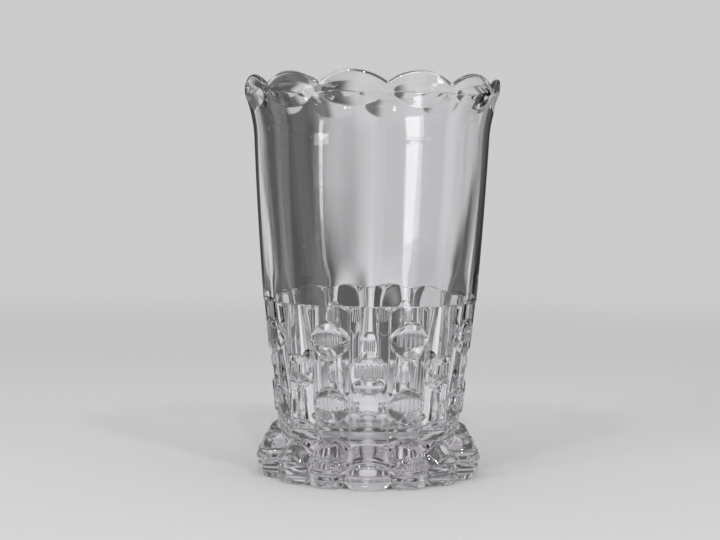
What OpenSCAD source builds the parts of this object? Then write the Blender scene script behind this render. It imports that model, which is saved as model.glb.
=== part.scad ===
// Pressed glass celery vase: a plain flared bowl with a scalloped rim, a band of
// columns set with ribbed bosses, and a lobed foot. The real vase is one pressing.
// Each solid is one element of its pattern, and meets its neighbours face to face.
// Radii are measured from the vase's axis, and the table is at z = 0.

/* [Overall] */
// Height from the table to the tops of the scallops
vase_h = 165; // [155:1:200]
// Columns around the lower half, each above one lobe of the foot
column_count = 16; // [14:2:18]
// Scallops around the rim
scallop_count = 12; // [10:1:14]

/* [Rim] */
// Height of the flared rim above the plain wall
rim_h = 25; // [22:0.5:30]
// Outer radius at the tops of the scallops
rim_r = 53.6; // [53.2:0.1:55]
// Outer radius level with the notches between scallops
valley_r = 53.3; // [52:0.1:53.6]
// Depth of the notches between scallops
scallop_depth = 4.8; // [3:0.1:6]
// Thickness of the glass at the rim
rim_t = 2.8; // [2.4:0.1:3.4]
// Drop from the tops of the scallops to the middles of their oval hollows
oval_drop = 7.7; // [7:0.1:9]
// Rounding of an oval hollow, seen from the side
oval_r = 14; // [12:0.5:18]
// Depth of an oval hollow
oval_depth = 1.3; // [0.6:0.1:1.5]
// Turn of the scallops against the columns
rim_turn = 21.5; // [0:0.1:30]

/* [Plain wall] */
// Outer radius where the wall meets the rim
wall_top_r = 49.3; // [48.5:0.1:50]
// Outer radius halfway up the wall
wall_mid_r = 47.4; // [46.6:0.1:48]
// Outer radius where the wall meets the columns
wall_base_r = 44.9; // [44.6:0.1:46]

/* [Columns] */
// Height of the tops of the columns
band_top = 72.5; // [70:0.5:80]
// Height of the foot, where the columns stand
band_base = 19.5; // [18.5:0.5:20.5]
// Radius of the flat panels at the tops of the columns
panel_top_r = 44.5; // [44:0.1:44.9]
// Radius of the flat panels at the foot
panel_base_r = 38.9; // [38.4:0.1:39.4]
// Width of the flat panels
panel_w = 7.3; // [6:0.1:8]
// Depth of the grooves between columns, below the panels
groove_depth = 2.9; // [2.2:0.1:3.3]
// Slope of the column sides
side_slope = 35; // [32:1:38]
// Rounding of the columns' top corners
top_round = 3.6; // [2:0.1:4]

/* [Bosses] */
// Height of the boss on each odd column, halfway between those on the even columns
boss_z = 45.4; // [43:0.1:47]
// Distance between two bosses on one column
boss_pitch = 26.4; // [25:0.1:27.5]
// Radius of a boss, seen from the front
boss_r = 7.7; // [7:0.1:8]
// Rounding of a boss's ribbed belt, seen from above
boss_plan_r = 19; // [15:1:24]

/* [Odd columns' bosses] */
// How far a boss lies below the panel
boss_sink = 0.75; // [0.4:0.05:1]
// Height of the straight upper edge of a boss, above its middle
boss_flat = 6.4; // [5.5:0.1:7]
// Height of the upper hollow above a boss's middle
upper_lens = 6.4; // [5.8:0.1:7]
// Drop from a boss's middle to its lower hollow
lower_lens = 4.2; // [3.6:0.1:4.6]
// Rounding of the hollows, seen from the side
lens_r = 5.5; // [4:0.1:7]
// Depth of the hollows
lens_depth = 0.9; // [0.5:0.1:1.2]

/* [Even columns' bosses] */
// How far a boss stands out from the panel
boss_rise = 0.8; // [0.5:0.05:1.2]
// Height of the top of the ribbed belt above a boss's middle
belt_above = 3.9; // [3:0.1:4.4]
// Drop from a boss's middle to the bottom of the belt
belt_below = 2; // [1.6:0.1:3]
// Inward slope of the facets above and below the belt
boss_facet_slope = 23; // [18:1:28]
// Rounding of the facets, seen from above
boss_facet_r = 12.7; // [11:0.1:14]

/* [Ribs] */
// Ribs across a boss
rib_count = 6; // [4:1:7]
// Distance between ribs
rib_pitch = 1.95; // [1.7:0.05:2.1]
// Radius of a rib
rib_r = 0.75; // [0.5:0.05:0.85]
// How far a rib stands out
rib_rise = 0.4; // [0.2:0.05:0.5]

/* [Foot] */
// Radius of the foot at the crowns of its plain lobes
foot_r = 46.8; // [46:0.1:47.6]
// How far the ribbed lobes stand out beyond the plain ones
ribbed_out = 2; // [0.8:0.1:2.4]
// Rounding of a lobe, seen from above
lobe_plan_r = 11; // [10.4:0.1:11.6]
// Height of the bevel around each lobe at the table
bevel_h = 2.6; // [1.5:0.1:3.2]
// Depth of the bevel
bevel_depth = 0.8; // [0.4:0.1:1.2]
// Height of the crease across a plain lobe
crease_z = 9; // [8:0.1:10]
// Inward lean of a plain lobe above its crease
crease_lean = 36; // [33:0.5:38]
// Height at which the ribbed lobes are widest
lobe_wide_z = 7.8; // [7.2:0.1:8.4]
// Rounding of a ribbed lobe, seen from the side
lobe_side_r = 12; // [11.8:0.1:12.6]
// Height of the lower edge of a ribbed lobe's sloping facet
lobe_facet_z = 12.1; // [11.4:0.1:12.6]
// Height of the sloping facet
lobe_facet_h = 3.9; // [3:0.1:5]
// Rounding of the facets above and below the ribs, seen from above
lobe_facet_r = 7.8; // [7:0.1:9]
// Height of the ribs on a ribbed lobe
lobe_rib_h = 4.3; // [3:0.1:5]
// Ribs across a ribbed lobe
lobe_rib_count = 6; // [5:1:8]
// Height of the undercut below the ribs
lobe_under_h = 1.5; // [1:0.1:3]
// Depth of the undercut below the ribs
lobe_under_depth = 1.8; // [0.6:0.1:2.2]
// Radius of the foot in the notches between lobes
notch_r = 43.6; // [42.6:0.1:44]
// Height of the upright wall in the notches
notch_h = 5; // [3:0.5:7]
// Radius of the disc under the bowl, which the lobes surround
disc_r = 33; // [32:0.1:34]
// Radius of the hollow under the foot
hollow_r = 28; // [20:0.5:31]
// Depth of the hollow under the foot
hollow_depth = 3; // [1:0.5:6]
// Inward slope of the hollow's side
hollow_side = 4; // [2:0.5:6]

/* [Bowl] */
// Height of the inner floor
floor_z = 16; // [14:0.5:17]
// Inner radius just above the rounded floor edge
bowl_base_r = 31.5; // [30:0.1:32]
// Rounding of the inner floor edge
bowl_round = 8; // [6:0.5:10]
// Inner radius level with the tops of the columns
bowl_band_r = 39.4; // [38:0.1:39.8]

/* [Hidden] */
$fn = 96;
glass = [0.93, 0.92, 0.95, 0.55];
far = 2 * vase_h;
column_step = 360 / column_count;
scallop_step = 360 / scallop_count;
columns = [1:column_count];
scallops = [1:scallop_count];

rim_z = vase_h - rim_h;
wall_mid_z = (band_top + rim_z) / 2;
band_h = band_top - band_base;
lean = atan((panel_top_r - panel_base_r) / band_h);
column_l = band_h / cos(lean);
column_w = panel_w + 2 * groove_depth / tan(side_slope);
core_base_r = panel_base_r - groove_depth / cos(lean);
core_top_r = panel_top_r - groove_depth / cos(lean);
stave_depth = panel_base_r - bowl_base_r + bowl_round;

// Height of the notches above the plain wall, and the rim's outward lean up to there
notch_z = rim_h - scallop_depth;
rim_lean = atan((valley_r - wall_top_r) / notch_z);
scallop_half_w = valley_r * sin(scallop_step / 2);
scallop_r = (pow(scallop_half_w, 2) + pow(scallop_depth, 2)) / (2 * scallop_depth);

plain_axis_r = foot_r - lobe_plan_r;
lobe_arc_x = lobe_plan_r - lobe_side_r;
lobe_facet_x = lobe_at(lobe_facet_z);
lobe_rib_z = lobe_facet_z - lobe_rib_h;
lobe_rib_x = lobe_at(lobe_facet_z - lobe_rib_h / 2);
lobe_tip_x = lobe_at(lobe_rib_z);
// Bottom of a ribbed lobe's cap, and the inward slopes of the facets above and below its ribs
lobe_cap_z = lobe_rib_z - lobe_under_h;
upper_slope = (lobe_facet_x - lobe_at(lobe_facet_z + lobe_facet_h)) / lobe_facet_h;
lower_slope = lobe_under_depth / lobe_under_h;

function numbered(name, i) = str(name, i < 10 ? "_0" : "_", i);
function is_odd(i) = i % 2 == 1;

// Distance of a ribbed lobe's round surface from the lobe's own upright axis
function lobe_at(z) = lobe_arc_x + sqrt(pow(lobe_side_r, 2) - pow(z - lobe_wide_z, 2));

// Sector of one repeat of a pattern, centred on +X
module sector(step) {
    half = far * tan(step / 2);
    linear_extrude(height = far)
        polygon([[0, 0], [far, -half], [far, half]]);
}

// Space inside the bowl, up to the rim
module bowl_space() {
    rotate_extrude() {
        polygon([
            [0, floor_z],
            [bowl_base_r - bowl_round, floor_z],
            [bowl_base_r, floor_z + bowl_round],
            [bowl_band_r, band_top],
            [wall_top_r - rim_t, rim_z],
            [0, rim_z]
        ]);
        intersection() {
            translate([bowl_base_r - bowl_round, floor_z + bowl_round])
                circle(bowl_round);
            translate([0, floor_z])
                square([bowl_base_r, bowl_round]);
        }
    }
}

// Solid inside the flared rim's outer surface, drawn in by "inset"
module rim_plug(inset) {
    rotate_extrude()
        polygon([
            [0, 0],
            [wall_top_r - inset, 0],
            [valley_r - inset, notch_z],
            [rim_r - inset, rim_h],
            [0, rim_h]
        ]);
}

module rim_scallop(i) {
    color(glass)
        rotate([0, 0, rim_turn + (i - 1) * scallop_step])
            intersection() {
                translate([0, 0, rim_z])
                    difference() {
                        rim_plug(0);
                        rim_plug(rim_t);
                        oval_hollow();
                    }
                sector(scallop_step);
                scallop_arch();
            }
}

// Oval hollow in the outside of a scallop, flat from side to side
module oval_hollow() {
    translate([wall_top_r, 0, 0])
        rotate([0, rim_lean, 0])
            translate([oval_r - oval_depth, 0, (rim_h - oval_drop) / cos(rim_lean)])
                rotate([90, 0, 0])
                    cylinder(r = oval_r, h = 2 * scallop_half_w, center = true);
}

// Round top of a scallop, cut straight through the rim
module scallop_arch() {
    translate([0, 0, vase_h - scallop_r])
        rotate([0, 90, 0])
            cylinder(r = scallop_r, h = far);
}

module plain_wall() {
    color(glass)
        difference() {
            rotate_extrude()
                polygon([
                    [0, band_top],
                    [wall_base_r, band_top],
                    [wall_mid_r, wall_mid_z],
                    [wall_top_r, rim_z],
                    [0, rim_z]
                ]);
            bowl_space();
        }
}

// Frame of a column: x points out from its panel, z runs up along it
module column_frame() {
    translate([panel_base_r, 0, band_base])
        rotate([0, lean, 0])
            children();
}

// Height along a column's own z of a point at height z above the table
function along(z) = (z - band_base) / cos(lean);

// A column's flat panel and its two sloping sides
module pillar() {
    intersection() {
        translate([0, 0, -stave_depth])
            linear_extrude(height = column_l + 2 * stave_depth)
                polygon([
                    [0, panel_w / 2],
                    [0, -panel_w / 2],
                    [-groove_depth, -column_w / 2],
                    [-stave_depth, -column_w / 2],
                    [-stave_depth, column_w / 2],
                    [-groove_depth, column_w / 2]
                ]);
        pillar_outline();
    }
}

// A column seen from the front, with its rounded top corners
module pillar_outline() {
    half = column_w / 2;
    rotate([90, 0, 90])
        translate([0, 0, -2 * stave_depth])
            linear_extrude(height = 3 * stave_depth) {
                translate([-half, -stave_depth])
                    square([column_w, column_l - top_round + stave_depth]);
                translate([top_round - half, 0])
                    square([column_w - 2 * top_round, column_l]);
                for (side = [-1, 1])
                    translate([side * (half - top_round), column_l - top_round])
                        circle(top_round);
            }
}

// Column with two round places cut out of it, a boss pitch apart, and a boss in each
module set_pillar(high, top) {
    low = high - boss_pitch;
    difference() {
        pillar();
        boss_place(high)
            stud(top);
        boss_place(low)
            stud(top);
    }
    boss_place(high)
        children(0);
    boss_place(low)
        children(1);
}

module boss_place(z) {
    translate([0, 0, along(z)])
        children();
}

// Outline of a boss through the column, cut off level at "top"
module stud(top) {
    intersection() {
        translate([-stave_depth, 0, 0])
            rotate([0, 90, 0])
                cylinder(r = boss_r, h = 2 * stave_depth);
        translate([-stave_depth, -boss_r, -boss_r])
            cube([2 * stave_depth, 2 * boss_r, boss_r + top]);
    }
}

// Round face of a boss
module boss_face() {
    translate([-boss_plan_r, 0, 0])
        cylinder(r = boss_plan_r, h = 2 * boss_r, center = true);
}

module boss_ribs(above, below) {
    translate([-boss_plan_r, 0, 0])
        ribs(rib_count, boss_plan_r, above, below);
}

// Boss of an odd column about its own middle: a hollow above and below its belt
module sunk_boss(ribbed) {
    intersection() {
        stud(boss_flat);
        translate([-boss_sink, 0, 0])
            difference() {
                union() {
                    boss_face();
                    if (ribbed)
                        boss_ribs(upper_lens, lower_lens);
                }
                lens(upper_lens);
                lens(-lower_lens);
            }
    }
}

// Boss of an even column about its own middle: a sloping facet above and below its belt
module proud_boss() {
    slope = tan(boss_facet_slope);
    intersection() {
        stud(boss_r);
        translate([boss_rise, 0, 0])
            intersection() {
                union() {
                    boss_face();
                    boss_ribs(belt_above, belt_below);
                }
                translate([-boss_facet_r, 0, 0])
                    facet_cone(boss_facet_r, belt_above, -slope, -boss_r, boss_r);
                translate([-boss_facet_r, 0, 0])
                    facet_cone(boss_facet_r, -belt_below, slope, -boss_r, boss_r);
            }
    }
}

// Cone about its own axis from "low" to "high", with the given radius at height "z"
module facet_cone(radius, z, slope, low, high) {
    translate([0, 0, low])
        cylinder(r1 = radius + slope * (low - z), r2 = radius + slope * (high - z), h = high - low);
}

// Lens-shaped hollow across a boss's face
module lens(z) {
    translate([lens_r - lens_depth, 0, z])
        rotate([90, 0, 0])
            cylinder(r = lens_r, h = 2 * boss_r, center = true);
}

// Row of upright ribs on a round surface, from "below" under its middle to "above" over it
module ribs(count, radius, above, below) {
    pitch = rib_pitch / radius * 180 / PI;
    for (k = [0:count - 1])
        rotate([0, 0, (k - (count - 1) / 2) * pitch])
            translate([radius - rib_r + rib_rise, 0, -below])
                cylinder(r = rib_r, h = above + below, $fn = 24);
}

// Odd columns have one ribbed boss, sunk in the panel, and a plain one that runs into the foot.
// Even columns have two ribbed bosses that stand out, half a pitch above and below it.
module column(i) {
    color(glass)
        rotate([0, 0, (i - 1) * column_step])
            difference() {
                intersection() {
                    union() {
                        column_core();
                        column_frame()
                            if (is_odd(i))
                                set_pillar(boss_z, boss_flat) {
                                    sunk_boss(true);
                                    sunk_boss(false);
                                }
                            else
                                set_pillar(boss_z + boss_pitch / 2, boss_r) {
                                    proud_boss();
                                    proud_boss();
                                }
                    }
                    sector(column_step);
                    translate([-far / 2, -far / 2, band_base])
                        cube([far, far, band_h]);
                }
                bowl_space();
            }
}

// Round wall behind the columns, down to the bottoms of the grooves
module column_core() {
    translate([0, 0, band_base])
        cylinder(r1 = core_base_r, r2 = core_top_r, h = band_h);
}

// Disc of glass under the bowl, with the hollow in its underside
module bowl_floor() {
    color(glass)
        difference() {
            cylinder(r = disc_r, h = band_base);
            bowl_space();
            hollow();
        }
}

module hollow() {
    translate([0, 0, -hollow_depth])
        cylinder(r1 = hollow_r + hollow_side, r2 = hollow_r - hollow_side, h = 2 * hollow_depth);
}

// Foot behind the lobes, drawn in from the notches to the columns
module foot_core() {
    rotate_extrude()
        polygon([
            [0, 0],
            [notch_r, 0],
            [notch_r, notch_h],
            [core_base_r, band_base],
            [0, band_base]
        ]);
}

// Outline of a lobe's upright part with its bevel, to be turned about the lobe's own axis
module drum_outline(radius, height) {
    polygon([
        [0, 0],
        [radius - bevel_depth, 0],
        [radius, bevel_h],
        [radius, height],
        [0, height]
    ]);
}

// Plain lobe: upright below its crease, and leaning in above it
module plain_lobe() {
    intersection() {
        rotate_extrude()
            drum_outline(lobe_plan_r, band_base);
        translate([lobe_plan_r, 0, crease_z])
            rotate([0, -crease_lean, 0])
                translate([-lobe_plan_r, 0, 0])
                    cylinder(r = lobe_plan_r, h = 4 * band_base, center = true);
    }
}

// Ribbed lobe: a round cap with a belt of ribs between two sloping facets, over an upright drum
module ribbed_lobe() {
    rotate_extrude()
        drum_outline(lobe_tip_x - lobe_under_depth, lobe_rib_z);
    intersection() {
        union() {
            lobe_cap();
            translate([0, 0, lobe_rib_z])
                ribs(lobe_rib_count, lobe_rib_x, lobe_rib_h, 0);
        }
        translate([lobe_facet_x - lobe_facet_r, 0, 0])
            facet_cone(lobe_facet_r, lobe_facet_z, -upper_slope, lobe_cap_z, band_base);
        translate([lobe_tip_x - lobe_facet_r, 0, 0])
            facet_cone(lobe_facet_r, lobe_rib_z, lower_slope, lobe_cap_z, band_base);
    }
}

// Round surface of a ribbed lobe, turned about the lobe's own axis
module lobe_cap() {
    rotate_extrude()
        intersection() {
            translate([lobe_arc_x, lobe_wide_z])
                circle(lobe_side_r);
            translate([0, lobe_cap_z])
                square([lobe_plan_r, band_base - lobe_cap_z]);
        }
}

module foot_lobe(i) {
    color(glass)
        rotate([0, 0, (i - 1) * column_step])
            difference() {
                intersection() {
                    union() {
                        foot_core();
                        if (is_odd(i))
                            translate([plain_axis_r, 0, 0])
                                plain_lobe();
                        else
                            translate([plain_axis_r + ribbed_out, 0, 0])
                                ribbed_lobe();
                    }
                    sector(column_step);
                }
                cylinder(r = disc_r, h = far, center = true);
            }
}

plain_wall();
bowl_floor();
for (i = scallops)
    rim_scallop(i);
for (i = columns)
    column(i);
for (i = columns)
    foot_lobe(i);
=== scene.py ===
import math

import bpy
import numpy as np
from mathutils import Matrix, Vector


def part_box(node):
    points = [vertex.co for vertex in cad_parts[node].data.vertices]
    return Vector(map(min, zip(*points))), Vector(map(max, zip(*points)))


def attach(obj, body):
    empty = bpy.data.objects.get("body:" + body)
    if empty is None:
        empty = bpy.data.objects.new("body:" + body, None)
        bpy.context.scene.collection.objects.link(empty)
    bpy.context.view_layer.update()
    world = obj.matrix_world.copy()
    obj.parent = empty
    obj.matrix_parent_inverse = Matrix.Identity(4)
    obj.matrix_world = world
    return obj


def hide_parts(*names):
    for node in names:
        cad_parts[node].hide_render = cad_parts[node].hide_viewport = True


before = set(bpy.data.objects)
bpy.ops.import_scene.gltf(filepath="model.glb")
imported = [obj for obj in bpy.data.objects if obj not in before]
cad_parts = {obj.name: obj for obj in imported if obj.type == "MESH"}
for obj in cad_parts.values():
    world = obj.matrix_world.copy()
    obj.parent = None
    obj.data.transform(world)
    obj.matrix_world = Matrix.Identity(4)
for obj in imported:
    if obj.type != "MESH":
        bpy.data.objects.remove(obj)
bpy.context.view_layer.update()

mm = 0.001  # the glass is worked out in millimetres, Blender's unit is the metre


def nodeBase(node):
    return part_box(node)[0].z / mm


def nodeTop(node):
    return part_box(node)[1].z / mm


# heights above the table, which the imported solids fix
levels = {
    "bandBase": nodeBase("column_01"),  # top of the foot
    "bandTop": nodeTop("column_01"),  # tops of the columns
    "rimBase": nodeTop("plain_wall"),  # where the rim starts to flare
    "rimTop": nodeTop("rim_scallop_01"),  # crests of the scallops
}
print("frame loaded, vase is", round(levels["rimTop"], 1), "mm tall")


# soft edges, as fire polishing leaves them
def softMax(a, b, blend):
    h = np.clip(0.5 + 0.5 * (a - b) / blend, 0, 1)
    return b + (a - b) * h + blend * h * (1 - h)


def softMin(a, b, blend):
    return -softMax(-a, -b, blend)


def ramp(start, end, x):
    t = np.clip((x - start) / (end - start), 0, 1)
    return t * t * (3 - 2 * t)


def straight(z, zA, xA, zB, xB):
    return xA + (xB - xA) * (z - zA) / (zB - zA)


def nearestRepeat(theta, count, turn=0.0):
    step = 2 * math.pi / count
    number = np.round((theta - turn) / step).astype(int)
    return theta - turn - number * step, number


# the band of columns
column = {
    "count": 16,
    "panelBaseR": 38.9,  # flat panels at the foot
    "panelTopR": 44.5,  # and at their tops
    "panelW": 7.3,
    "sideSlope": math.tan(math.radians(35)),
    "grooveDepth": 2.9,
    "grooveRound": 0.15,
    "topRound": 3.6,  # rounded top corners
    "cornerFade": (-0.15, 0.35),  # across the edge of these corners
    "edge": 0.18,
    "tries": 4,  # the relief shifts the point where it is read, so it is read again
}
column["step"] = 2 * math.pi / column["count"]
column["lean"] = (column["panelTopR"] - column["panelBaseR"]) / (levels["bandTop"] - levels["bandBase"])
column["w"] = column["panelW"] + 2 * column["grooveDepth"] / column["sideSlope"]

# upright ribs on the bosses and the ribbed lobes
rib = {"rise": 0.4, "pitch": 1.95, "end": 0.3}

# bosses with a ribbed belt: round ones with two lens-shaped hollows, sunk in the odd columns,
# and eye-shaped ones that slope away above and below the belt, proud of the even columns
boss = {
    "z": 45.4,  # on the odd columns, and half a pitch above and below it on the even ones
    "pitch": 26.4,
    "planR": 19.0,
    "ribs": 6,
    "edge": 0.22,
    "blend": 0.3,
    "sink": 0.75,  # odd ones lie below the panels
    "r": 7.7,
    "flat": 6.4,  # their straight upper edge
    "ribsFrom": (-1.5, -0.9),  # their belt, each end from no ribs to full ones
    "ribsTo": (3.9, 3.3),
    "upperLens": 6.4,
    "lowerLens": -4.2,
    "lensR": 5.0,
    "lensDepth": 0.85,
    "eyeRise": 0.8,  # even ones stand out from the panels
    "eyeW": 8.3,
    "eyeH": 7.5,
    "eyePower": 1.6,  # 2 is an ellipse, 1 a diamond
    "beltTop": 3.9,  # their belt
    "beltBase": -2.0,
    "beltFade": (0.5, -0.3),
    "beltBend": 16.0,
    "beltSlope": 0.42,  # above and below it
}


def columnAt(theta):
    phi, number = nearestRepeat(theta, column["count"])
    return phi, number % 2 == 0


def ribRow(along, count):
    shift = 0.5 if count % 2 == 0 else 0.0
    wave = 0.5 + 0.5 * np.cos(2 * math.pi * (along / rib["pitch"] + shift))
    return rib["rise"] * wave * ramp(0, rib["end"], count * rib["pitch"] / 2 - np.abs(along))


# each boss gives its face, out from the panel, and how far inside its edge a point lies
def oddBoss(u, up, ribbed):
    face = -boss["sink"] - u**2 / (2 * boss["planR"])
    belt = ramp(*boss["ribsFrom"], up) * ramp(*boss["ribsTo"], up)
    face = face + ribbed * belt * ribRow(u, boss["ribs"])
    for middle in (boss["upperLens"], boss["lowerLens"]):
        hollow = -boss["sink"] - boss["lensDepth"] + (up - middle) ** 2 / (2 * boss["lensR"])
        face = softMin(face, hollow, boss["blend"])
    return face, np.minimum(boss["r"] - np.sqrt(u**2 + up**2), boss["flat"] - up)


def evenBoss(u, up):
    bend = u**2 / (2 * boss["beltBend"])
    above = up - boss["beltTop"] + bend
    below = boss["beltBase"] + bend - up
    face = boss["eyeRise"] - u**2 / (2 * boss["planR"])
    belt = ramp(*boss["beltFade"], above) * ramp(*boss["beltFade"], below)
    face = face + belt * ribRow(u, boss["ribs"])
    for beyond in (above, below):
        face = face - boss["beltSlope"] * softMax(beyond, 0 * beyond, boss["blend"])
    power = boss["eyePower"]
    reach = (np.abs(u / boss["eyeW"]) ** power + np.abs(up / boss["eyeH"]) ** power) ** (1 / power)
    return face, (1 - reach) * boss["eyeH"]


# a flat panel with sloping sides, grooves beside it and rounded top corners
def pillarRelief(u, z, panel):
    edgeU = (panel - column["grooveDepth"]) * math.tan(column["step"] / 2)
    gap = np.maximum(edgeU - np.abs(u), 0)
    aside = edgeU - np.sqrt(gap**2 + column["grooveRound"] ** 2)
    side = (aside - column["panelW"] / 2) * column["sideSlope"]
    pillar = -softMax(side, 0 * side, column["edge"])
    pillar = softMax(pillar, 0 * pillar - column["grooveDepth"], column["edge"])
    up = np.clip(z - levels["bandTop"] + column["topRound"], 0, column["topRound"])
    corner = column["w"] / 2 - column["topRound"] + np.sqrt(column["topRound"] ** 2 - up**2)
    cut = ramp(*column["cornerFade"], aside - corner)
    return pillar * (1 - cut) - column["grooveDepth"] * cut


def bandRelief(u, z, odd, panel):
    relief = pillarRelief(u, z, panel)
    for number in (0, 1):
        up = z - boss["z"] + number * boss["pitch"]
        oddFace, oddInside = oddBoss(u, up, 1 - number)  # the lower odd one is plain
        evenFace, evenInside = evenBoss(u, up - boss["pitch"] / 2)
        mask = ramp(-boss["edge"], boss["edge"], np.where(odd, oddInside, evenInside))
        relief = relief * (1 - mask) + np.where(odd, oddFace, evenFace) * mask
    return relief


def bandRadius(theta, z):
    phi, odd = columnAt(theta)
    panel = column["panelBaseR"] + column["lean"] * (z - levels["bandBase"])
    r = panel / np.cos(phi)
    for _ in range(column["tries"]):
        r = (panel + bandRelief(r * np.sin(phi), z, odd, panel)) / np.cos(phi)
    return r


# the lobed foot
foot = {
    "r": 46.8,  # crowns of the plain lobes
    "planR": 11.0,
    "bevelH": 2.6,
    "bevel": 0.8,
    "creaseZ": 9.0,  # across the plain lobes
    "creaseLean": math.radians(34),
    "creaseBend": 0.05,
    "creaseEdge": 0.25,
    "ribbedOut": 2.0,  # ribbed lobes stand out further
    "wideZ": 7.8,
    "sideR": 12.0,
    "facetZ": 12.1,  # lower edge of the ribbed lobes' sloping facet
    "facetStep": 0.5,
    "stepFade": (-0.1, 0.4),
    "facetSlope": 0.5,
    "facetEdge": 0.15,
    "eyeR": 7.8,  # the facets' rounding in plan, which makes the belt eye-shaped
    "ribH": 4.3,
    "ribs": 6,
    "underH": 1.5,  # undercut below the ribs
    "underDepth": 1.8,
    "drumEdge": 0.2,
    "notchR": 43.6,
    "notchH": 5.0,
    "edge": 0.35,
    "bandEdge": 0.4,  # where the columns run into the lobes
    "bandReach": 2.0,
    "bottomRound": 0.5,
    "hollowR": 28.0,
    "hollowDepth": 3.0,
    "hollowSide": 4.0,
}
foot["axisR"] = foot["r"] - foot["planR"]
foot["ribZ"] = foot["facetZ"] - foot["ribH"]


def arcAt(z, middleX, middleZ, radius):
    return middleX + np.sqrt(np.maximum(radius**2 - (z - middleZ) ** 2, 0))


def capAt(z):
    return arcAt(z, foot["planR"] - foot["sideR"], foot["wideZ"], foot["sideR"])


def lobeRadius(phi, axis, reach):
    inside = np.maximum(reach, 0) ** 2 - (axis * np.sin(phi)) ** 2
    return axis * np.cos(phi) + np.sqrt(np.maximum(inside, 0))


def facetRadius(phi, axis, level, fall):
    return lobeRadius(phi, axis + capAt(level) - foot["eyeR"], foot["eyeR"] - fall)


# a cylinder that leans in through the crease and bends further in, level sections of it are ellipses
def leaningRadius(phi, z):
    wide = foot["planR"]
    deep = foot["planR"] / math.cos(foot["creaseLean"])
    above = z - foot["creaseZ"]
    leanIn = above * math.tan(foot["creaseLean"])
    bendIn = foot["creaseBend"] * above * np.abs(above)
    middle = foot["r"] - leanIn - bendIn - deep
    a = (np.cos(phi) / deep) ** 2 + (np.sin(phi) / wide) ** 2
    b = middle * np.cos(phi) / deep**2
    return (b + np.sqrt(np.maximum(b**2 - a * ((middle / deep) ** 2 - 1), 0))) / a


def plainLobe(phi, z, bevel):
    drum = lobeRadius(phi, foot["axisR"], foot["planR"] - bevel)
    return softMin(drum, leaningRadius(phi, z), foot["creaseEdge"])


# a round cap with a ribbed belt between two sloping facets, over a drum
def ribbedLobe(phi, z, bevel):
    axis = foot["axisR"] + foot["ribbedOut"]
    r = lobeRadius(phi, axis, capAt(z))
    turned = np.arctan2(r * np.sin(phi), r * np.cos(phi) - axis) * foot["planR"]
    r = r + ribRow(turned, foot["ribs"])
    above = z - foot["facetZ"]
    fall = foot["facetSlope"] * above + foot["facetStep"] * ramp(*foot["stepFade"], above)
    r = softMin(r, facetRadius(phi, axis, foot["facetZ"], fall), foot["facetEdge"])
    underSlope = foot["underDepth"] / foot["underH"]
    fall = underSlope * (foot["ribZ"] - z)
    r = softMin(r, facetRadius(phi, axis, foot["ribZ"], fall), foot["facetEdge"])
    drumTop = np.maximum(z - foot["ribZ"], 0)
    drum = lobeRadius(phi, axis, capAt(foot["ribZ"]) - foot["underDepth"] - bevel - drumTop)
    return softMax(r, drum, foot["drumEdge"])


def footRadius(theta, z):
    phi, odd = columnAt(theta)
    bevel = foot["bevel"] * np.clip(1 - z / foot["bevelH"], 0, 1)
    lobe = np.where(odd, plainLobe(phi, z, bevel), ribbedLobe(phi, z, bevel))
    grooveR = column["panelBaseR"] - column["grooveDepth"]
    drawnIn = straight(z, foot["notchH"], foot["notchR"], levels["bandBase"], grooveR)
    core = np.minimum(foot["notchR"], drawnIn) + 0 * phi
    r = softMax(lobe, core, foot["edge"])
    left = np.clip(foot["bottomRound"] - z, 0, foot["bottomRound"])
    return r - foot["bottomRound"] + np.sqrt(foot["bottomRound"] ** 2 - left**2)


# the plain wall and the inside
wall = {
    "baseR": 44.9,
    "midR": 47.4,
    "topR": 49.3,
    "floorZ": 16.0,
    "bowlBaseR": 31.5,
    "bowlRound": 6.0,
    "bowlBandR": 39.4,
    "sink": 0.15,  # the inside sank where the tops of the thick columns cooled last
    "sinkFrom": 58.0,
    "sinkPast": 2.0,  # above the columns' tops, where it starts to fade
    "sinkTo": 86.0,
}
# the flared rim, with an oval hollow in each scallop
rim = {
    "count": 12,
    "turn": math.radians(21.5),
    "r": 53.45,
    "slope": 0.047,  # as the plain wall's at its top
    "bend": 0.010,
    "flareEdge": 0.5,
    "depth": 4.8,  # of the notches
    "notchRound": 0.4,
    "thick": 2.8,
    "ovalZ": 157.3,
    "ovalR": 14.0,
    "ovalDepth": 1.3,
    "edge": 0.14,
}
rim["h"] = levels["rimTop"] - levels["rimBase"]

# slow waves that the mould left in the glass
waves = {
    "size": 0.05,
    "count": 9,
    "turns": (2, 15),
    "lean": 0.06,  # at most, in radians for each millimetre up
    "phase": 6.28,  # a full turn
    "outside": 5,  # random seeds
    "inside": 8,
    "fadeH": 30.0,  # they come in above the bowl's floor
}


def wallRadius(z):
    t = (z - levels["bandTop"]) / (levels["rimBase"] - levels["bandTop"])
    base, mid, top = wall["baseR"], wall["midR"], wall["topR"]
    return base + (4 * mid - 3 * base - top) * t + 2 * (base + top - 2 * mid) * t**2


def openFlare(h):
    return wall["topR"] + rim["slope"] * h + rim["bend"] * h**2


def flareRadius(h):
    return softMin(openFlare(h), 0 * h + rim["r"], rim["flareEdge"])


def rimRadius(theta, h):
    phi, _ = nearestRepeat(theta, rim["count"], rim["turn"])
    ovalH = rim["ovalZ"] - levels["rimBase"]
    lean = rim["slope"] + 2 * rim["bend"] * ovalH
    up = h - ovalH
    oval = openFlare(ovalH) - rim["ovalDepth"] + lean * up + up**2 * (1 + lean**2) / (2 * rim["ovalR"])
    return softMin(flareRadius(h), oval / np.cos(phi), rim["edge"])


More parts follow.
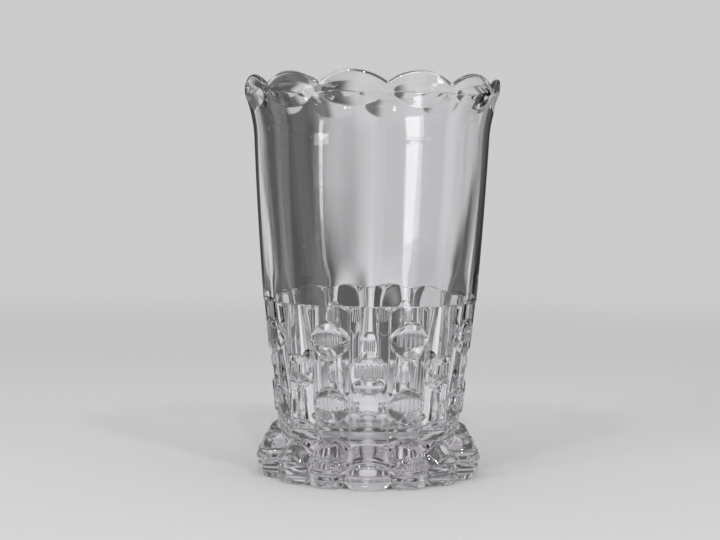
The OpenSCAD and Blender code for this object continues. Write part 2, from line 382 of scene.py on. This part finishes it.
def rimHeight(theta):
    phi, _ = nearestRepeat(theta, rim["count"], rim["turn"])
    halfW = rim["r"] * math.sin(math.pi / rim["count"])
    arc = (halfW**2 + rim["depth"] ** 2) / (2 * rim["depth"])
    gap = halfW - rim["r"] * np.abs(np.sin(phi))
    across = halfW - np.sqrt(gap**2 + rim["notchRound"] ** 2)
    return rim["h"] - arc + np.sqrt(arc**2 - across**2)


def bowlRadius(z):
    foldZ = wall["floorZ"] + wall["bowlRound"]
    low = straight(z, foldZ, wall["bowlBaseR"], levels["bandTop"], wall["bowlBandR"])
    wallH = levels["rimBase"] - levels["bandTop"]
    t = (z - levels["bandTop"]) / wallH
    out = wall["topR"] - rim["thick"] - wall["bowlBandR"]
    lean = rim["slope"] * wallH
    return np.where(t < 0, low, wall["bowlBandR"] + (2 * out - lean) * t + (lean - out) * t**2)


def sinkMarks(theta, z):
    low = ramp(wall["sinkFrom"], levels["bandTop"], z)
    high = ramp(wall["sinkTo"], levels["bandTop"] + wall["sinkPast"], z)
    return wall["sink"] * np.cos(column["count"] * theta) * low * high


def ripple(theta, z, seed):
    rng = np.random.default_rng(seed)
    total = 0 * theta * z
    for _ in range(waves["count"]):
        turns = rng.integers(*waves["turns"])
        lean = rng.uniform(-waves["lean"], waves["lean"])
        total = total + np.sin(turns * theta + z * lean + rng.uniform(0, waves["phase"]))
    return waves["size"] * total / math.sqrt(waves["count"])


# one skin of rings from the middle of the underside, up outside, over the lip and down inside
around = {"pattern": 1152, "plain": 576, "inside": 288, "fewest": 18}  # points in a ring
rows = {
    "hollow": 9,  # rings up the side of the hollow in the underside
    "resting": (4.0, 9.0),  # rings of the resting face, out from the hollow
    "restingEdge": (2.5, 0.0),  # and in from the edge
    "bottom": 5,  # rings in the rounding below the lobes
    "bottomFrom": 0.25,
    "footFrom": 0.8,
    "foot": 0.3,  # steps up
    "band": 0.33,
    "bandTo": 0.6,  # below the columns' tops
    "ledgeFrom": 0.5,  # from below the columns' tops to above them
    "ledge": 0.1,
    "ledgeTo": 0.7,
    "ledgeFade": 0.25,
    "wall": 1.5,
    "wallTo": 0.5,  # below the rim
    "rimOutside": 70,  # rings
    "lip": 14,
    "rimInside": 30,
    "bowl": 2.0,  # steps down
    "bowlRound": 12,  # rings
}


def angles(count):
    return np.arange(count) * 2 * math.pi / count


def ring(count, r, z):
    theta = angles(count)
    return np.stack([r * np.cos(theta), r * np.sin(theta), z + 0 * theta], axis=1)


def discRings(r, z, widest):
    counts = [widest]
    while counts[0] % 2 == 0 and counts[0] > around["fewest"]:
        counts.insert(0, counts[0] // 2)
    radii = [r * (k + 1) / (len(counts) + 1) for k in range(len(counts))]
    return [ring(n, radius, z) for n, radius in zip(counts, radii)]


def undersideRings():
    inside = around["inside"]
    rings = discRings(foot["hollowR"] - foot["hollowSide"], foot["hollowDepth"], inside)
    for t in np.linspace(0, 1, rows["hollow"]):
        r = foot["hollowR"] - foot["hollowSide"] * (1 - t)
        rings.append(ring(inside, r, foot["hollowDepth"] * (1 - ramp(0, 1, t))))
    for beyond in rows["resting"]:
        rings.append(ring(around["plain"], foot["hollowR"] + beyond, 0))
    theta = angles(around["pattern"])
    edgeR = footRadius(theta, np.zeros_like(theta))
    for inward in rows["restingEdge"]:
        rings.append(ring(around["pattern"], edgeR - inward, 0))
    return rings


def patternRings():
    theta = angles(around["pattern"])
    base, top = levels["bandBase"], levels["bandTop"]
    turns = np.linspace(rows["bottomFrom"], math.pi / 2, rows["bottom"])
    heights = np.concatenate([
        foot["bottomRound"] * (1 - np.cos(turns)),
        np.arange(rows["footFrom"], base, rows["foot"]),
        np.arange(base, top - rows["bandTo"], rows["band"]),
        np.arange(top - rows["ledgeFrom"], top + rows["ledgeTo"], rows["ledge"]),
    ])
    z = heights[:, None]
    band = bandRadius(theta[None, :], np.minimum(z, top))
    low = softMax(footRadius(theta[None, :], z), band, foot["bandEdge"])
    r = np.where(z < base + foot["bandReach"], low, band)
    ledge = ramp(-rows["ledgeFade"], rows["ledgeFade"], z - top)
    r = r + (wallRadius(z) + ripple(theta[None, :], z, waves["outside"]) - r) * ledge
    return [ring(around["pattern"], rowR, rowZ) for rowR, rowZ in zip(r, heights)]


def wallRings():
    theta = angles(around["plain"])
    rings = []
    for z in np.arange(levels["bandTop"] + rows["wall"], levels["rimBase"] - rows["wallTo"], rows["wall"]):
        rings.append(ring(around["plain"], wallRadius(z) + ripple(theta, z, waves["outside"]), z))
    return rings


def rimRings():
    theta = angles(around["plain"])
    base = levels["rimBase"]
    full = rimHeight(theta) - rim["thick"] / 2
    rings = []
    for t in np.linspace(0, 1, rows["rimOutside"]):
        h = t * full
        r = rimRadius(theta, h) + ripple(theta, base + h, waves["outside"])
        rings.append(ring(around["plain"], r, base + h))
    outer = rimRadius(theta, full) + ripple(theta, base + full, waves["outside"])
    inner = flareRadius(full) - rim["thick"] + ripple(theta, base + full, waves["inside"])
    for a in np.linspace(0, math.pi, rows["lip"])[1:-1]:
        r = (outer + inner) / 2 + (outer - inner) / 2 * math.cos(a)
        rings.append(ring(around["plain"], r, base + full + rim["thick"] / 2 * math.sin(a)))
    for t in np.linspace(1, 0, rows["rimInside"]):
        h = t * full
        r = flareRadius(h) - rim["thick"] + ripple(theta, base + h, waves["inside"])
        rings.append(ring(around["plain"], r, base + h))
    return rings


def bowlRings():
    inside = around["inside"]
    theta = angles(inside)
    foldZ = wall["floorZ"] + wall["bowlRound"]
    rings = []
    for z in np.arange(levels["rimBase"] - rows["bowl"], foldZ, -rows["bowl"]):
        moved = ripple(theta, z, waves["inside"]) * ramp(foldZ, foldZ + waves["fadeH"], z)
        moved = moved + sinkMarks(theta, z)
        rings.append(ring(inside, bowlRadius(z) + moved, z))
    centreR = wall["bowlBaseR"] - wall["bowlRound"]
    for a in np.linspace(0, math.pi / 2, rows["bowlRound"]):
        r = centreR + wall["bowlRound"] * math.cos(a)
        rings.append(ring(inside, r, foldZ - wall["bowlRound"] * math.sin(a)))
    return rings + discRings(centreR, wall["floorZ"], inside)[::-1]


# quads between rings of one count, three triangles for each step where the count halves or doubles
def joinRings(rings):
    starts = np.cumsum([0] + [len(r) for r in rings])
    faces = []
    for k in range(len(rings) - 1):
        a, b = len(rings[k]), len(rings[k + 1])
        few = min(a, b)
        i = np.arange(few)
        nextI = (i + 1) % few
        low, high = starts[k], starts[k + 1]
        if a == b:
            faces.append(np.stack([low + i, low + nextI, high + nextI, high + i], axis=1))
            continue
        first, middle, last = 2 * i, 2 * i + 1, (2 * i + 2) % (2 * few)
        if a > b:
            faces.append(np.stack([low + first, low + middle, high + i], axis=1))
            faces.append(np.stack([low + middle, high + nextI, high + i], axis=1))
            faces.append(np.stack([low + middle, low + last, high + nextI], axis=1))
        else:
            faces.append(np.stack([low + i, high + middle, high + first], axis=1))
            faces.append(np.stack([low + i, low + nextI, high + middle], axis=1))
            faces.append(np.stack([low + nextI, high + last, high + middle], axis=1))
    return faces, starts


def buildVase():
    rings = undersideRings() + patternRings() + wallRings() + rimRings() + bowlRings()
    faces, starts = joinRings(rings)
    middles = np.array([[0, 0, foot["hollowDepth"]], [0, 0, wall["floorZ"]]])
    points = np.concatenate(rings + [middles])
    first = np.arange(len(rings[0]))
    last = starts[-2] + np.arange(len(rings[-1]))
    faces.append(np.stack([0 * first + starts[-1], np.roll(first, -1), first], axis=1))
    faces.append(np.stack([last, np.roll(last, -1), 0 * last + starts[-1] + 1], axis=1))
    corners = np.concatenate([f.ravel() for f in faces]).astype(np.int32)
    sizes = np.concatenate([np.full(len(f), f.shape[1]) for f in faces]).astype(np.int32)
    mesh = bpy.data.meshes.new("vase_glass")
    mesh.vertices.add(len(points))
    mesh.vertices.foreach_set("co", (points * mm).astype(np.float32).ravel())
    mesh.loops.add(len(corners))
    mesh.loops.foreach_set("vertex_index", corners)
    mesh.polygons.add(len(sizes))
    mesh.polygons.foreach_set("loop_start", (np.cumsum(sizes) - sizes).astype(np.int32))
    mesh.polygons.foreach_set("use_smooth", np.ones(len(sizes), dtype=bool))
    mesh.update(calc_edges=True)
    mesh.validate()
    obj = bpy.data.objects.new("vase_glass", mesh)
    bpy.context.scene.collection.objects.link(obj)
    return obj


vase = buildVase()
print("glass skin made,", len(vase.data.polygons), "faces")


# shader nodes, where a value is a number, a colour or a socket to link
def node(tree, kind, values=(), **settings):
    made = tree.nodes.new(kind)
    for name, value in settings.items():
        setattr(made, name, value)
    for socket, value in values:
        if isinstance(value, bpy.types.NodeSocket):
            tree.links.new(value, made.inputs[socket])
        else:
            made.inputs[socket].default_value = value
    return made


def calc(tree, operation, *values):
    return node(tree, "ShaderNodeMath", enumerate(values), operation=operation).outputs[0]


def between(tree, value, low, high, first=0.0, last=1.0):
    values = [("Value", value), ("From Min", low), ("From Max", high), ("To Min", first), ("To Max", last)]
    return node(tree, "ShaderNodeMapRange", values, interpolation_type="SMOOTHSTEP").outputs["Result"]


def mixed(tree, kind, factor, a, b):
    values = [("Factor", factor), ("A", a), ("B", b)]
    return node(tree, "ShaderNodeMix", values, data_type=kind).outputs["Result"]


def noise(tree, place, scale, detail):
    values = [("Vector", place), ("Scale", scale), ("Detail", detail)]
    return node(tree, "ShaderNodeTexNoise", values).outputs[0]


def newGroup(name, ins, outs):
    group = bpy.data.node_groups.new(name, "ShaderNodeTree")
    for label, kind in ins:
        group.interface.new_socket(label, in_out="INPUT", socket_type=kind)
    for label, kind in outs:
        group.interface.new_socket(label, in_out="OUTPUT", socket_type=kind)
    return group, group.nodes.new("NodeGroupInput"), group.nodes.new("NodeGroupOutput")


def fromGroup(tree, group, values):
    return node(tree, "ShaderNodeGroup", values, node_tree=group)


# the mould's fine waviness, and scattered seeds, which are small bubbles under the skin
seedCells = {"scale": 190.0, "reach": 0.05, "spread": 0.05, "soft": (1.0, 0.3)}
fineWaves = {"scale": 60.0, "detail": 1.0}


def seedsGroup():
    group, given, result = newGroup(
        "seeds_and_waves",
        [("Place", "NodeSocketVector"), ("Seeds", "NodeSocketFloat"), ("Waves", "NodeSocketFloat")],
        [("Height", "NodeSocketFloat"), ("Seed", "NodeSocketFloat")],
    )
    place = given.outputs["Place"]
    cells = node(group, "ShaderNodeTexVoronoi", [("Vector", place), ("Scale", seedCells["scale"])])
    parts = node(group, "ShaderNodeSeparateColor", [("Color", cells.outputs["Color"])])
    chosen = calc(group, "LESS_THAN", parts.outputs[0], given.outputs["Seeds"])
    reach = calc(group, "MULTIPLY_ADD", parts.outputs[1], seedCells["spread"], seedCells["reach"])
    dot = between(group, calc(group, "DIVIDE", cells.outputs["Distance"], reach), *seedCells["soft"])
    seed = calc(group, "MULTIPLY", dot, chosen)
    slow = noise(group, place, fineWaves["scale"], fineWaves["detail"])
    height = calc(group, "ADD", calc(group, "MULTIPLY", slow, given.outputs["Waves"]), seed)
    group.links.new(height, result.inputs["Height"])
    group.links.new(seed, result.inputs["Seed"])
    return group


# scuffs where the foot has stood on tables
scuffs = {"height": 0.0012, "scale": 900.0, "detail": 3.0, "patches": (0.42, 0.62)}


def wearGroup():
    group, given, result = newGroup(
        "wear", [("Place", "NodeSocketVector")], [("Worn", "NodeSocketFloat")]
    )
    place = given.outputs["Place"]
    parts = node(group, "ShaderNodeSeparateXYZ", [("Vector", place)])
    low = between(group, parts.outputs["Z"], scuffs["height"], 0.0)
    fine = noise(group, place, scuffs["scale"], scuffs["detail"])
    worn = calc(group, "MULTIPLY", low, between(group, fine, *scuffs["patches"]))
    group.links.new(worn, result.inputs["Worn"])
    return group


# clear soda glass with a faint lilac cast
glassLook = {
    "ior": 1.52,
    "body": (0.88, 0.80, 0.87, 1.0),
    "bodyDensity": 6.0,
    "tint": (0.985, 0.98, 0.99, 1.0),
    "seedTint": (0.90, 0.90, 0.91, 1.0),
    "seeds": 0.16,  # share of the cells that have one
    "waves": 0.35,
    "bump": 0.3,
    "bumpHeight": 0.0002,
    "wornRoughness": 0.3,
    "seedRoughness": 0.25,
}


def glassMaterial():
    material = bpy.data.materials.new("pressed_glass")
    material.use_nodes = True
    tree = material.node_tree
    shader = tree.nodes["Principled BSDF"]
    place = node(tree, "ShaderNodeTexCoord").outputs["Object"]
    amounts = [("Place", place), ("Seeds", glassLook["seeds"]), ("Waves", glassLook["waves"])]
    marks = fromGroup(tree, seedsGroup(), amounts)
    seed = marks.outputs["Seed"]
    worn = fromGroup(tree, wearGroup(), [("Place", place)]).outputs["Worn"]
    tint = mixed(tree, "RGBA", seed, glassLook["tint"], glassLook["seedTint"])
    tree.links.new(tint, shader.inputs["Base Color"])
    rough = calc(tree, "MULTIPLY", seed, glassLook["seedRoughness"])
    rough = calc(tree, "MULTIPLY_ADD", worn, glassLook["wornRoughness"], rough)
    tree.links.new(rough, shader.inputs["Roughness"])
    bump = node(tree, "ShaderNodeBump", [("Height", marks.outputs["Height"])])
    bump.inputs["Strength"].default_value = glassLook["bump"]
    bump.inputs["Distance"].default_value = glassLook["bumpHeight"]
    tree.links.new(bump.outputs["Normal"], shader.inputs["Normal"])
    shader.inputs["IOR"].default_value = glassLook["ior"]
    shader.inputs["Transmission Weight"].default_value = 1.0
    body = node(tree, "ShaderNodeVolumeAbsorption")
    body.inputs["Color"].default_value = glassLook["body"]
    body.inputs["Density"].default_value = glassLook["bodyDensity"]
    tree.links.new(body.outputs["Volume"], tree.nodes["Material Output"].inputs["Volume"])
    return material


vase.data.materials.append(glassMaterial())
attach(vase, "root")
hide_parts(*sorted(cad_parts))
print("glass finish set")


# studio: a pale floor that fades into a pale backdrop, in metres
studio = {
    "paper": (0.60, 0.60, 0.605, 1.0),
    "floor": (0.68, 0.68, 0.685, 1.0),
    "floorR": 6.0,
    "floorSides": 96,
    "floorRoughness": 0.75,
    "floorShine": 0.2,
    "floorGlow": 0.06,
    "grainDark": 0.97,
    "grainScale": 400.0,
    "grainDetail": 2.0,
    "fade": (0.3, 1.2),  # distance from the vase
    "screens": 8.0,  # pale screens with dark flags between them, seen only in the glass
    "turn": 0.8,  # of the screens, so that left and right differ
    "flagEdge": (0.1, 0.65),
    "flagBright": 0.15,
    "flag": (0.0, 0.0, 0.0, 1.0),
    "flagsFrom": (0.12, 0.25),  # on the floor, distance from the vase
    "gathered": (0.02, 0.30),  # light that each lobe gathers in a streak under itself, seen in the glass
    "streakEdge": (-0.3, 0.9),
    "ceiling": 0.8,  # dimmer light from above
    "ceilingFrom": (0.3, 0.6),
    "lights": [
        # name, place, size across, size up, watts
        ("key", (-0.85, -0.75, 0.45), 0.30, 0.80, 3.0),
        ("fill", (0.95, -0.55, 0.40), 0.10, 0.60, 0.9),
        ("top_left", (-0.40, -0.75, 1.05), 0.06, 0.18, 1.8),
        ("top_middle", (0.05, -0.80, 1.10), 0.06, 0.18, 1.8),
        ("top_right", (0.45, -0.70, 1.05), 0.06, 0.18, 1.8),
    ],
    "aim": (0.0, 0.0, 0.08),
}


def inGlass(tree):
    path = node(tree, "ShaderNodeLightPath")
    return calc(tree, "MAXIMUM", path.outputs["Is Glossy Ray"], path.outputs["Is Transmission Ray"])


def turnAround(tree, way):
    parts = node(tree, "ShaderNodeSeparateXYZ", [("Vector", way)])
    return calc(tree, "ARCTAN2", parts.outputs["Y"], parts.outputs["X"]), parts.outputs["Z"]


# brightness of the screens and flags all around, and of the ceiling
def screens(tree, way):
    turn, up = turnAround(tree, way)
    wave = calc(tree, "COSINE", calc(tree, "MULTIPLY_ADD", turn, studio["screens"], studio["turn"]))
    flags = between(tree, wave, *studio["flagEdge"], studio["flagBright"], 1.0)
    return mixed(tree, "FLOAT", between(tree, up, *studio["ceilingFrom"]), flags, studio["ceiling"])


# streaks of light under the lobes of the foot
def streaks(tree, place):
    turn, _ = turnAround(tree, place)
    wave = calc(tree, "COSINE", calc(tree, "MULTIPLY", turn, float(column["count"])))
    return between(tree, wave, *studio["streakEdge"], *studio["gathered"])


def floorMaterial():
    material = bpy.data.materials.new("paper")
    material.use_nodes = True
    tree = material.node_tree
    shader = tree.nodes["Principled BSDF"]
    shader.inputs["Roughness"].default_value = studio["floorRoughness"]
    shader.inputs["Specular IOR Level"].default_value = studio["floorShine"]
    shader.inputs["Emission Color"].default_value = studio["paper"]
    place = node(tree, "ShaderNodeTexCoord").outputs["Object"]
    seen = inGlass(tree)
    lit = calc(tree, "MULTIPLY_ADD", streaks(tree, place), seen, studio["floorGlow"])
    tree.links.new(lit, shader.inputs["Emission Strength"])
    grain = noise(tree, place, studio["grainScale"], studio["grainDetail"])
    darker = [studio["grainDark"] * c for c in studio["floor"][:3]] + [1.0]
    tree.links.new(mixed(tree, "RGBA", grain, darker, studio["floor"]), shader.inputs["Base Color"])
    away = node(tree, "ShaderNodeVectorMath", [(0, place)], operation="LENGTH").outputs["Value"]
    far = between(tree, away, *studio["fade"])
    glow = node(tree, "ShaderNodeEmission", [("Color", studio["paper"])])
    faded = node(tree, "ShaderNodeMixShader", [(0, far), (1, shader.outputs[0]), (2, glow.outputs[0])])
    shade = calc(tree, "SUBTRACT", 1.0, screens(tree, place))
    shade = calc(tree, "MULTIPLY", shade, seen)
    shade = calc(tree, "MULTIPLY", shade, between(tree, away, *studio["flagsFrom"]))
    flag = node(tree, "ShaderNodeEmission", [("Color", studio["flag"])])
    flagged = node(tree, "ShaderNodeMixShader", [(0, shade), (1, faded.outputs[0]), (2, flag.outputs[0])])
    tree.links.new(flagged.outputs[0], tree.nodes["Material Output"].inputs["Surface"])
    return material


def studioFloor():
    mesh = bpy.data.meshes.new("floor")
    edge = ring(studio["floorSides"], studio["floorR"], 0)
    mesh.from_pydata(edge.tolist(), [], [tuple(range(studio["floorSides"]))])
    mesh.materials.append(floorMaterial())
    obj = bpy.data.objects.new("floor", mesh)
    bpy.context.scene.collection.objects.link(obj)


def studioLights():
    for name, place, across, up, watts in studio["lights"]:
        lamp = bpy.data.lights.new(name, "AREA")
        lamp.shape = "RECTANGLE"
        lamp.size = across
        lamp.size_y = up
        lamp.energy = watts
        obj = bpy.data.objects.new(name, lamp)
        obj.location = place
        obj.rotation_euler = (Vector(studio["aim"]) - Vector(place)).to_track_quat("-Z", "Y").to_euler()
        bpy.context.scene.collection.objects.link(obj)


def studioWorld():
    world = bpy.data.worlds.new("studio")
    bpy.context.scene.world = world
    world.use_nodes = True
    tree = world.node_tree
    back = tree.nodes["Background"]
    back.inputs["Color"].default_value = studio["paper"]
    way = node(tree, "ShaderNodeTexCoord").outputs["Generated"]
    strength = mixed(tree, "FLOAT", inGlass(tree), 1.0, screens(tree, way))
    tree.links.new(strength, back.inputs["Strength"])


# camera, from the photograph's perspective
view = {
    "away": 0.600,
    "height": 0.1157,
    "lens": 71.05,
    "sensor": 36,
    "pitch": math.radians(87.06),
    "yaw": math.radians(0.415),
    "roll": math.radians(0.66),
}


def studioCamera():
    data = bpy.data.cameras.new("camera")
    data.lens = view["lens"]
    data.sensor_width = view["sensor"]
    obj = bpy.data.objects.new("camera", data)
    turn = Matrix.Rotation(view["yaw"], 4, "Z") @ Matrix.Rotation(view["pitch"], 4, "X")
    turn = turn @ Matrix.Rotation(view["roll"], 4, "Z")
    obj.matrix_world = Matrix.Translation((0, -view["away"], view["height"])) @ turn
    bpy.context.scene.collection.objects.link(obj)
    bpy.context.scene.camera = obj


studioFloor()
studioLights()
studioWorld()
studioCamera()
bpy.context.scene.view_settings.view_transform = "Standard"
print("studio set")
